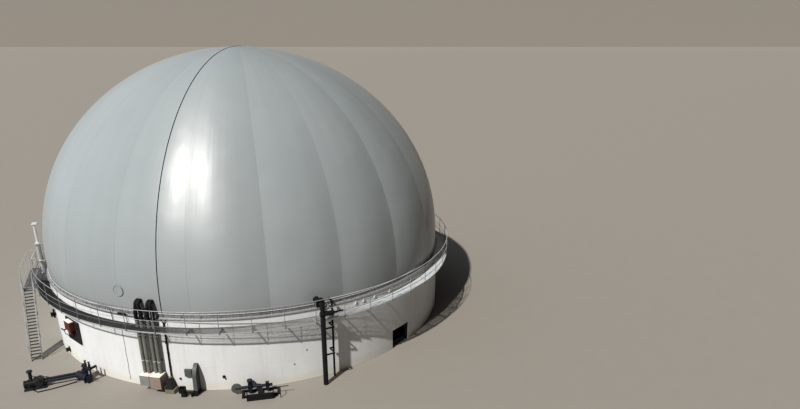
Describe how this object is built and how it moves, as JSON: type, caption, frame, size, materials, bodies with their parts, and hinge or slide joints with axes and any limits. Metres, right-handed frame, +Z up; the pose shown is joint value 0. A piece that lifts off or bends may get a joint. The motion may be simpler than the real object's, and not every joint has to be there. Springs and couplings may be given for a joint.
{
  "type": "biogas digester",
  "caption": "Round concrete tank under an inflated double membrane dome, with a grated gallery, a steep stair, gas risers, air pipes, mixer and pumps around its foot.",
  "frame": {"origin": "the centre of the tank on the underside of its base slab, at ground level", "axes": "+Z is up, along the tank's axis. -Y faces the front, where the air pipes and the pumps stand. +X is to the right seen from the front."},
  "size_m": [29.688, 30.0628, 18.642],
  "materials": {
    "concrete": "matte",
    "membrane": "satin",
    "galvanised": "satin",
    "black_pipe": "satin",
    "olive_pipe": "satin",
    "dark_steel": "satin",
    "red_paint": "satin",
    "blue_paint": "satin",
    "grey_paint": "satin",
    "brown_paint": "satin"
  },
  "bodies": {
    "root": {"air_hoses_left": "black_pipe", "air_hoses_right": "black_pipe", "air_pipes_left": "olive_pipe", "air_pipes_right": "olive_pipe", "base_slab": "concrete", "blower_box_brown": "brown_paint", "blower_box_grey": "grey_paint", "condensate_riser": "black_pipe", "control_panel": "grey_paint", "covered_pump": "dark_steel", "dome_membrane": "membrane", "dome_rope": "black_pipe", "feed_pump": "blue_paint", "gallery_deck_1": "galvanised", "gallery_deck_2": "galvanised", "gallery_deck_3": "galvanised", "gallery_deck_4": "galvanised", "gallery_frame_1": "galvanised", "gallery_frame_2": "galvanised", "gallery_frame_3": "galvanised", "gallery_frame_4": "galvanised", "gas_riser": "black_pipe", "guardrail_1": "galvanised", "guardrail_2": "galvanised", "guardrail_3": "galvanised", "guardrail_4": "galvanised", "landing_deck": "galvanised", "landing_frame": "galvanised", "landing_guardrail": "galvanised", "mixer_drive": "red_paint", "mixer_plate": "dark_steel", "opening_lintel": "concrete", "pump_skid": "dark_steel", "relief_valve": "galvanised", "riser_head": "black_pipe", "side_valve": "dark_steel", "sight_window": "dark_steel", "stair_flight": "galvanised", "stair_handrail_inner": "galvanised", "stair_handrail_outer": "galvanised", "transfer_pump": "dark_steel", "valve_group": "blue_paint", "vent_stack": "galvanised", "wall_conduit": "dark_steel", "wall_segment_1": "concrete", "wall_segment_2": "concrete", "wall_segment_3": "concrete", "wall_segment_4": "concrete", "wall_segment_5": "concrete", "wall_segment_6": "concrete", "wall_segment_7": "concrete"}
  },
  "joints": []
}
